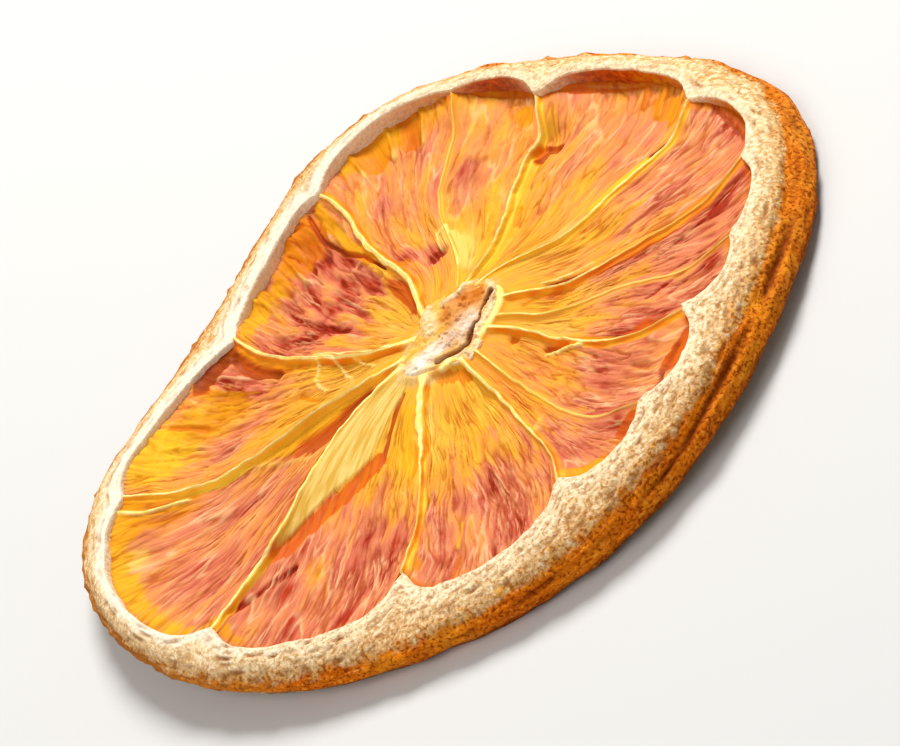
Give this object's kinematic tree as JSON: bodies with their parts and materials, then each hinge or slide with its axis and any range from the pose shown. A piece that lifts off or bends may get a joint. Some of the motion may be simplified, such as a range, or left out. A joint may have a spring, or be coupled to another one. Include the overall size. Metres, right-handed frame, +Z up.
{
  "type": "dried blood orange slice",
  "caption": "Thin dried cross-section slice of a blood orange, warped, with a ring of peel and pith, sunken flesh segments, raised membranes and a spongy core.",
  "frame": {"origin": "on the surface that the slice rests on, under the middle of its outline", "axes": "+Z up through the slice's thickness, with the shown side up; +X along its longest width; +Y towards the far side as the picture is taken, with the flattened edge"},
  "size_m": [0.0618, 0.0578, 0.0049],
  "materials": {
    "dried_flesh": "dried fruit flesh, matte to half gloss, salmon pink to amber",
    "dried_rind": "dry matte cream pith with a dimpled brown-orange peel edge"
  },
  "bodies": {
    "root": {"orange_slice": "dried_flesh"}
  },
  "joints": []
}
